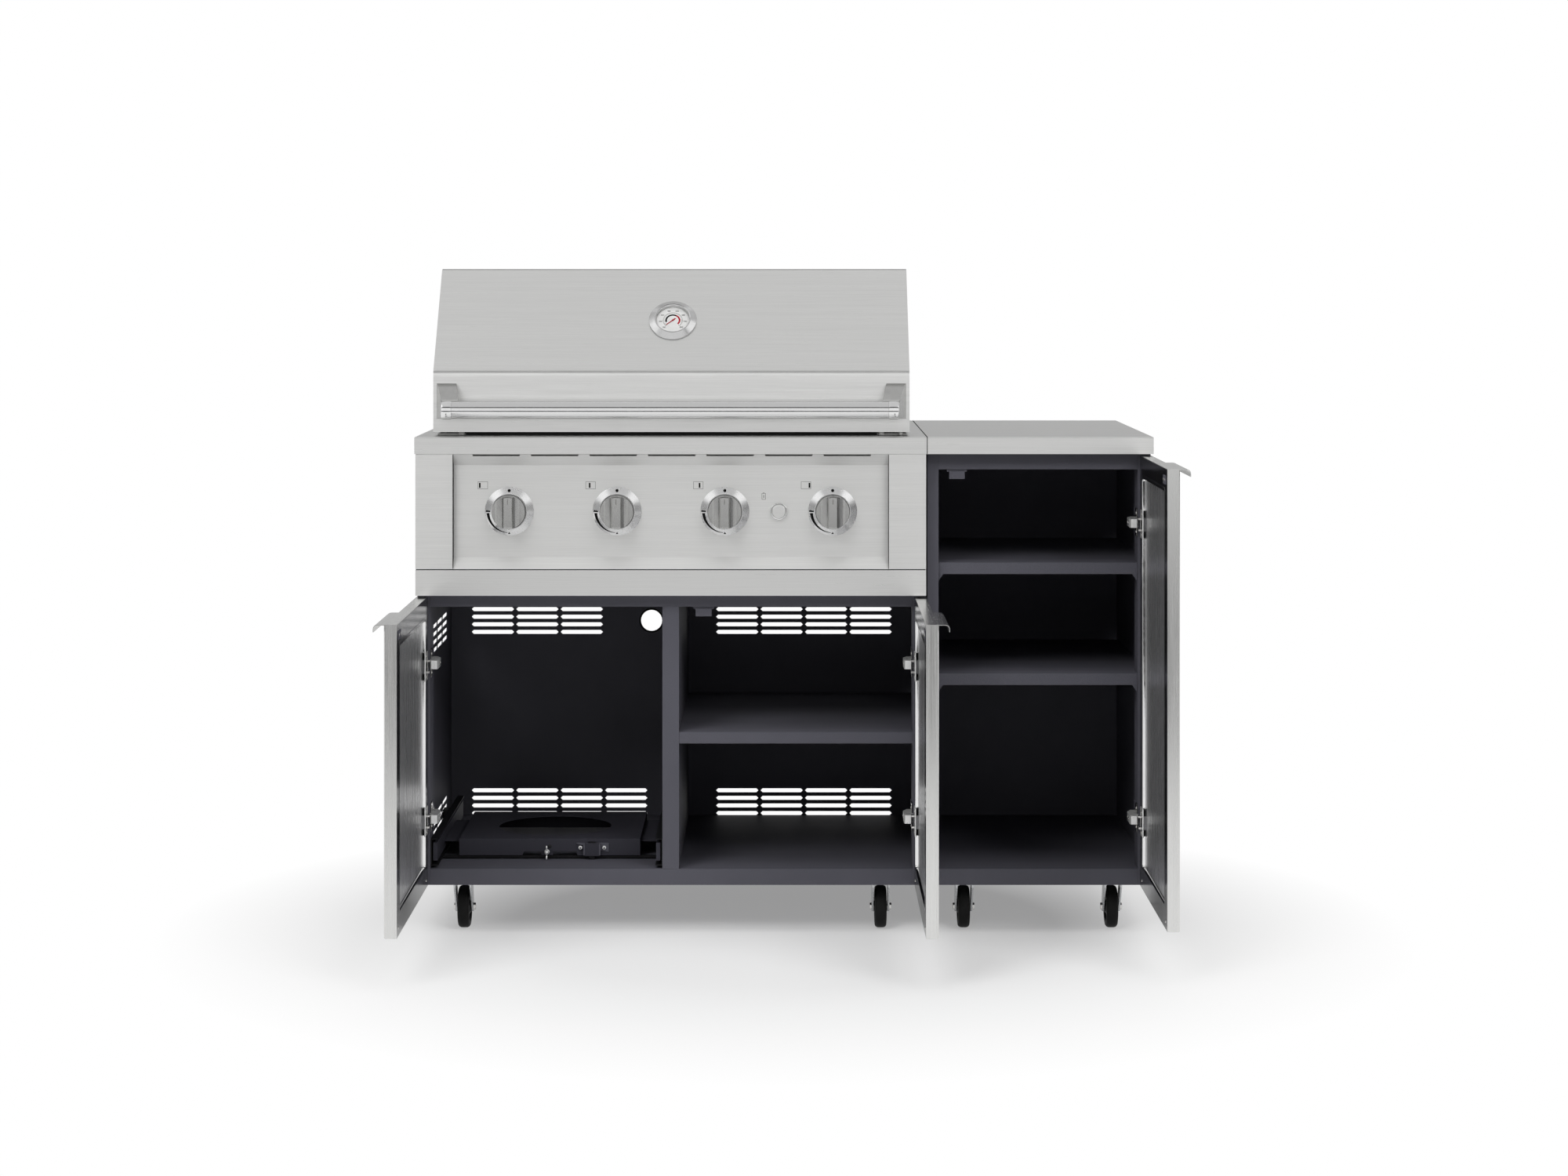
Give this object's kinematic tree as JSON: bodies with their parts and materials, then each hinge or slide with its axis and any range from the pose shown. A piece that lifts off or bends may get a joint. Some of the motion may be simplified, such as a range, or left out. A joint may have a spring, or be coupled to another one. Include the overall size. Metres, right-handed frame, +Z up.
{
  "type": "outdoor kitchen island",
  "caption": "Free-standing gas grill cabinet and side cabinet on casters, with a hinged hood, framed doors, shelves and a pull-out tray for the gas bottle.",
  "frame": {"origin": "on the ground, in the middle of the part's box with its doors open", "axes": "+X to the right seen from the front, +Y to the rear, +Z up"},
  "size_m": [1.367, 1.0636, 1.201],
  "materials": {
    "worktop_steel": "fine horizontal brushing",
    "panel_steel": "fine horizontal brushing",
    "hood_steel": "fine horizontal brushing",
    "handle_steel": "satin",
    "door_steel": "fine brushing",
    "liner_steel": "bright rolled sheet",
    "cabinet_paint": "dark slate powder coat",
    "tray_paint": "dark slate powder coat",
    "slide_black": "black",
    "firebox_steel": "plain sheet",
    "burner_steel": "plain tube",
    "grate_iron": "matt enamel",
    "rack_chrome": "bright wire",
    "valve_brass": "turned",
    "knob_metal": "satin chrome",
    "button_metal": "satin chrome",
    "gauge_metal": "polished",
    "caster_zinc": "zinc plate",
    "wheel_rubber": "black"
  },
  "bodies": {
    "cabinet": {"grill_worktop": "worktop_steel", "side_worktop": "worktop_steel", "control_panel": "panel_steel", "lower_trim": "panel_steel", "grill_base_pan": "cabinet_paint", "grill_left_side": "cabinet_paint", "grill_right_side": "cabinet_paint", "grill_back": "cabinet_paint", "grill_divider": "cabinet_paint", "grill_front_rail": "cabinet_paint", "grill_shelf": "cabinet_paint", "side_base_pan": "cabinet_paint", "side_left_side": "cabinet_paint", "side_right_side": "cabinet_paint", "side_back": "cabinet_paint", "side_front_rail": "cabinet_paint", "side_upper_shelf": "cabinet_paint", "side_lower_shelf": "cabinet_paint", "cooking_grate_left": "grate_iron", "cooking_grate_right": "grate_iron", "warming_rack": "rack_chrome", "burners": "burner_steel", "firebox": "firebox_steel", "gas_manifold": "valve_brass", "tray_slide_left": "slide_black", "tray_slide_right": "slide_black"},
    "hood": {"hood_shell": "hood_steel", "hood_handle": "handle_steel", "thermometer": "gauge_metal"},
    "left_door": {"left_door_shell": "door_steel", "left_door_liner": "liner_steel"},
    "right_door": {"right_door_shell": "door_steel", "right_door_liner": "liner_steel"},
    "side_door": {"side_door_shell": "door_steel", "side_door_liner": "liner_steel"},
    "bottle_tray": {"gas_tray": "tray_paint"},
    "latch": {"tray_latch": "slide_black"},
    "wing_screw": {"tray_wing_screw": "caster_zinc"},
    "drip_tray": {"drip_tray": "firebox_steel"},
    "igniter": {"igniter_button": "button_metal"},
    "stem_1": {"valve_stem_1": "valve_brass"},
    "knob_1": {"knob_1": "knob_metal"},
    "fork_1": {"caster_fork_1": "caster_zinc"},
    "front_wheel_1": {"front_wheel_1": "wheel_rubber"},
    "rear_wheel_1": {"rear_wheel_1": "wheel_rubber"},
    "stem_2": {"valve_stem_2": "valve_brass"},
    "knob_2": {"knob_2": "knob_metal"},
    "fork_2": {"caster_fork_2": "caster_zinc"},
    "front_wheel_2": {"front_wheel_2": "wheel_rubber"},
    "rear_wheel_2": {"rear_wheel_2": "wheel_rubber"},
    "stem_3": {"valve_stem_3": "valve_brass"},
    "knob_3": {"knob_3": "knob_metal"},
    "fork_3": {"caster_fork_3": "caster_zinc"},
    "front_wheel_3": {"front_wheel_3": "wheel_rubber"},
    "rear_wheel_3": {"rear_wheel_3": "wheel_rubber"},
    "stem_4": {"valve_stem_4": "valve_brass"},
    "knob_4": {"knob_4": "knob_metal"},
    "fork_4": {"caster_fork_4": "caster_zinc"},
    "front_wheel_4": {"front_wheel_4": "wheel_rubber"},
    "rear_wheel_4": {"rear_wheel_4": "wheel_rubber"}
  },
  "joints": [
    {"name": "hood_hinge", "type": "hinge", "parent": "cabinet", "child": "hood", "pos_m": [-0.20378, 0.4288, 0.945], "axis": [-1, 0, 0], "range_deg": [0, 78]},
    {"name": "left_door_hinge", "type": "hinge", "parent": "cabinet", "child": "left_door", "pos_m": [-0.6545, -0.0827, 0.088], "axis": [0, 0, -1], "range_deg": [-90, 15]},
    {"name": "right_door_hinge", "type": "hinge", "parent": "cabinet", "child": "right_door", "pos_m": [0.24695, -0.0827, 0.088], "axis": [0, 0, 1], "range_deg": [-90, 15]},
    {"name": "side_door_hinge", "type": "hinge", "parent": "cabinet", "child": "side_door", "pos_m": [0.6545, -0.0827, 0.088], "axis": [0, 0, 1], "range_deg": [-90, 15]},
    {"name": "bottle_tray_slide", "type": "slide", "parent": "cabinet", "child": "bottle_tray", "axis": [0, -1, 0], "range_m": [0, 0.4]},
    {"name": "latch_lift", "type": "slide", "parent": "bottle_tray", "child": "latch", "axis": [0, 0, 1], "range_m": [0, 0.008]},
    {"name": "wing_screw_turn", "type": "hinge", "parent": "bottle_tray", "child": "wing_screw", "pos_m": [-0.4356, 0.0288, 0.131], "axis": [0, -1, 0], "continuous": true},
    {"name": "drip_tray_slide", "type": "slide", "parent": "cabinet", "child": "drip_tray", "axis": [0, 1, 0], "range_m": [0, 0.3]},
    {"name": "igniter_push", "type": "slide", "parent": "cabinet", "child": "igniter", "axis": [0, 1, 0], "range_m": [0, 0.0035], "stiffness_N_per_m": 600},
    {"name": "knob_1_turn", "type": "hinge", "parent": "cabinet", "child": "stem_1", "pos_m": [-0.49523, -0.0852, 0.765], "axis": [0, -1, 0], "range_deg": [0, 180]},
    {"name": "knob_1_push", "type": "slide", "parent": "stem_1", "child": "knob_1", "axis": [0, 1, 0], "range_m": [0, 0.004], "stiffness_N_per_m": 800},
    {"name": "caster_1_swivel", "type": "hinge", "parent": "cabinet", "child": "fork_1", "pos_m": [-0.583, -0.0362, 0.095], "axis": [0, 0, 1], "continuous": true},
    {"name": "front_wheel_1_spin", "type": "hinge", "parent": "fork_1", "child": "front_wheel_1", "pos_m": [-0.583, -0.0112, 0.038], "axis": [1, 0, 0], "continuous": true},
    {"name": "rear_wheel_1_spin", "type": "hinge", "parent": "cabinet", "child": "rear_wheel_1", "pos_m": [-0.583, 0.4438, 0.038], "axis": [1, 0, 0], "continuous": true},
    {"name": "knob_2_turn", "type": "hinge", "parent": "cabinet", "child": "stem_2", "pos_m": [-0.30092, -0.0852, 0.765], "axis": [0, -1, 0], "range_deg": [0, 180]},
    {"name": "knob_2_push", "type": "slide", "parent": "stem_2", "child": "knob_2", "axis": [0, 1, 0], "range_m": [0, 0.004], "stiffness_N_per_m": 800},
    {"name": "caster_2_swivel", "type": "hinge", "parent": "cabinet", "child": "fork_2", "pos_m": [0.176, -0.0362, 0.095], "axis": [0, 0, 1], "continuous": true},
    {"name": "front_wheel_2_spin", "type": "hinge", "parent": "fork_2", "child": "front_wheel_2", "pos_m": [0.176, -0.0112, 0.038], "axis": [1, 0, 0], "continuous": true},
    {"name": "rear_wheel_2_spin", "type": "hinge", "parent": "cabinet", "child": "rear_wheel_2", "pos_m": [0.176, 0.4438, 0.038], "axis": [1, 0, 0], "continuous": true},
    {"name": "knob_3_turn", "type": "hinge", "parent": "cabinet", "child": "stem_3", "pos_m": [-0.10662, -0.0852, 0.765], "axis": [0, -1, 0], "range_deg": [0, 180]},
    {"name": "knob_3_push", "type": "slide", "parent": "stem_3", "child": "knob_3", "axis": [0, 1, 0], "range_m": [0, 0.004], "stiffness_N_per_m": 800},
    {"name": "caster_3_swivel", "type": "hinge", "parent": "cabinet", "child": "fork_3", "pos_m": [0.3275, -0.0362, 0.095], "axis": [0, 0, 1], "continuous": true},
    {"name": "front_wheel_3_spin", "type": "hinge", "parent": "fork_3", "child": "front_wheel_3", "pos_m": [0.3275, -0.0112, 0.038], "axis": [1, 0, 0], "continuous": true},
    {"name": "rear_wheel_3_spin", "type": "hinge", "parent": "cabinet", "child": "rear_wheel_3", "pos_m": [0.3275, 0.4438, 0.038], "axis": [1, 0, 0], "continuous": true},
    {"name": "knob_4_turn", "type": "hinge", "parent": "cabinet", "child": "stem_4", "pos_m": [0.08768, -0.0852, 0.765], "axis": [0, -1, 0], "range_deg": [0, 180]},
    {"name": "knob_4_push", "type": "slide", "parent": "stem_4", "child": "knob_4", "axis": [0, 1, 0], "range_m": [0, 0.004], "stiffness_N_per_m": 800},
    {"name": "caster_4_swivel", "type": "hinge", "parent": "cabinet", "child": "fork_4", "pos_m": [0.597, -0.0362, 0.095], "axis": [0, 0, 1], "continuous": true},
    {"name": "front_wheel_4_spin", "type": "hinge", "parent": "fork_4", "child": "front_wheel_4", "pos_m": [0.597, -0.0112, 0.038], "axis": [1, 0, 0], "continuous": true},
    {"name": "rear_wheel_4_spin", "type": "hinge", "parent": "cabinet", "child": "rear_wheel_4", "pos_m": [0.597, 0.4438, 0.038], "axis": [1, 0, 0], "continuous": true}
  ]
}
